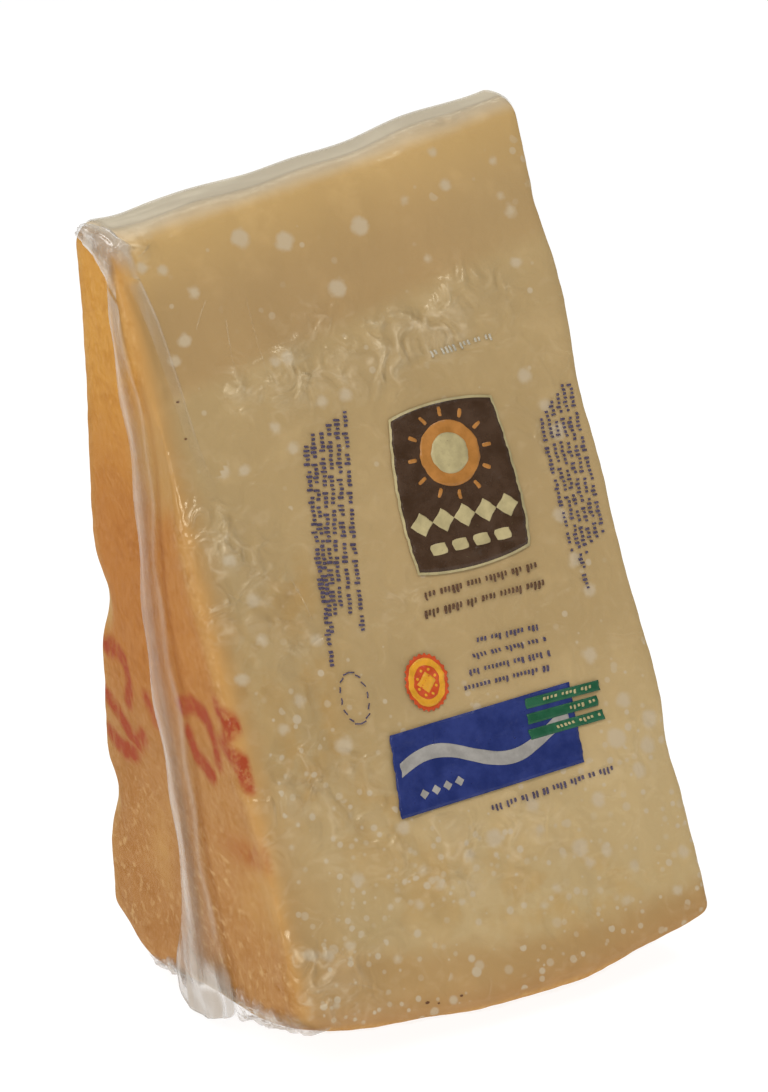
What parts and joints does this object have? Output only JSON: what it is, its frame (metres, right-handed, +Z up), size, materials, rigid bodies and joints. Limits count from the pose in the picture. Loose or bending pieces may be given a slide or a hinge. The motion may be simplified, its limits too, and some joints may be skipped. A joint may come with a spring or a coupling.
{
  "type": "vacuum-packed parmesan chunk",
  "caption": "Tall wedge of hard cheese with rind, standing on its rounded rind side and shrink-sealed in clear film with a folded seam.",
  "frame": {"origin": "middle of the pack's footprint box, on the surface it stands on", "axes": "+Z up towards the blunt tip, +X along the wheel's axis from the flat rind to the cut side, -Y towards the printed radial cut"},
  "size_m": [0.1072, 0.1137, 0.1962],
  "materials": {
    "film": "clear glossy shrink film over pale cheese, milky where it is folded",
    "paste": "pale straw cheese with soft white crystal spots",
    "rind": "waxy orange-brown rind with smudged red ink",
    "print": "flat ink fields printed on the film"
  },
  "bodies": {
    "root": {"vacuum_pack": "film"}
  },
  "joints": []
}
